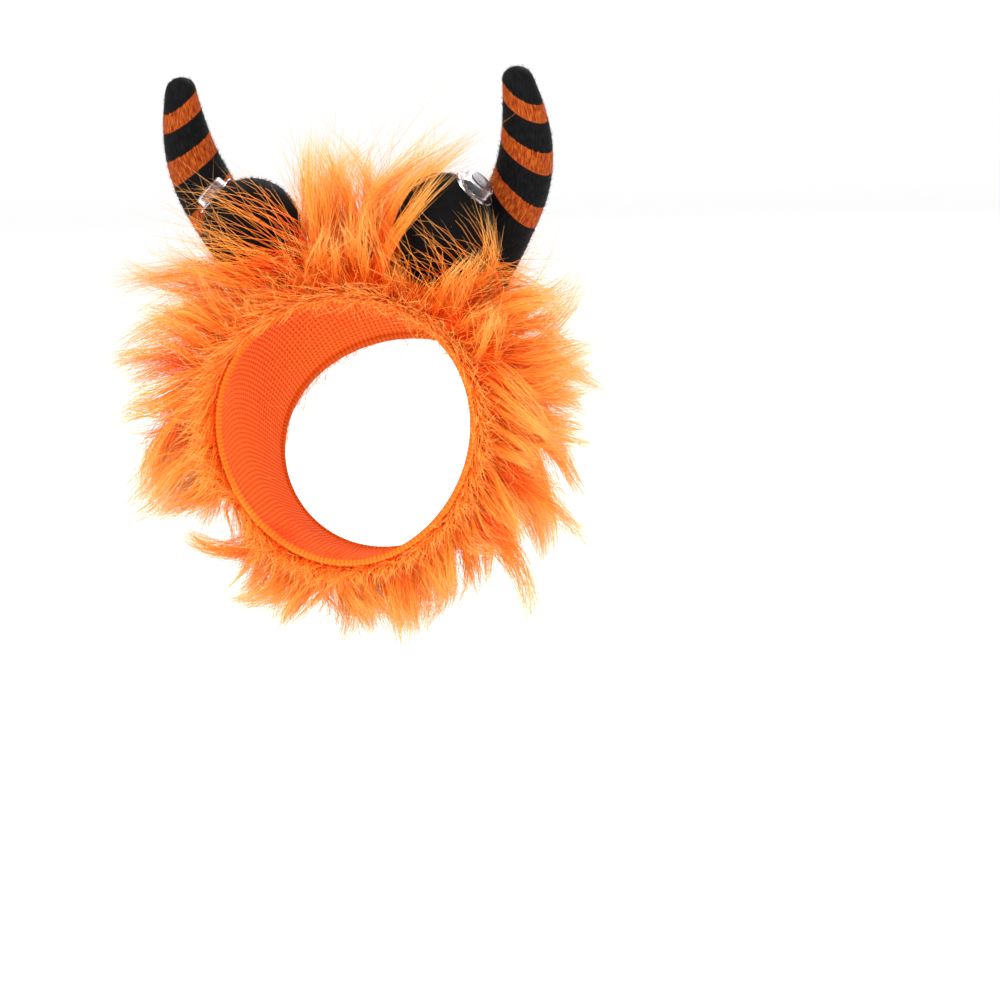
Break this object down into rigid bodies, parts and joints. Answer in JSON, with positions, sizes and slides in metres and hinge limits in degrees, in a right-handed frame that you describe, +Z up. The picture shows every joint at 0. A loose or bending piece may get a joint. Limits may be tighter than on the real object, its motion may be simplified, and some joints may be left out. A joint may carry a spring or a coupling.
{
  "type": "costume hood for a small dog",
  "caption": "Pull-on hood of long orange faux fur for a small dog, with striped stuffed horns, black plush balls and clear plastic domes",
  "frame": {"origin": "on the inner face of the knit at the highest point of the crown, where the hood rests on the top of the head", "axes": "the face opening looks along -Y, +Z is up, and +X is towards the wearer's left"},
  "size_m": [0.192, 0.1814, 0.2211],
  "materials": {
    "knit": "orange knitted backing cloth, matt",
    "fur": "long orange acrylic faux fur with a soft sheen",
    "striped_plush": "short-pile velour, black with slanted orange stripes",
    "black_plush": "short-pile black velour, stuffed",
    "clear_plastic": "clear moulded plastic, glossy"
  },
  "bodies": {
    "root": {"knit_hood": "knit", "mane_fur": "fur", "horn_left": "striped_plush", "horn_right": "striped_plush", "plush_ball_left": "black_plush", "plush_ball_right": "black_plush", "clear_dome_left": "clear_plastic", "clear_dome_right": "clear_plastic"}
  },
  "joints": []
}
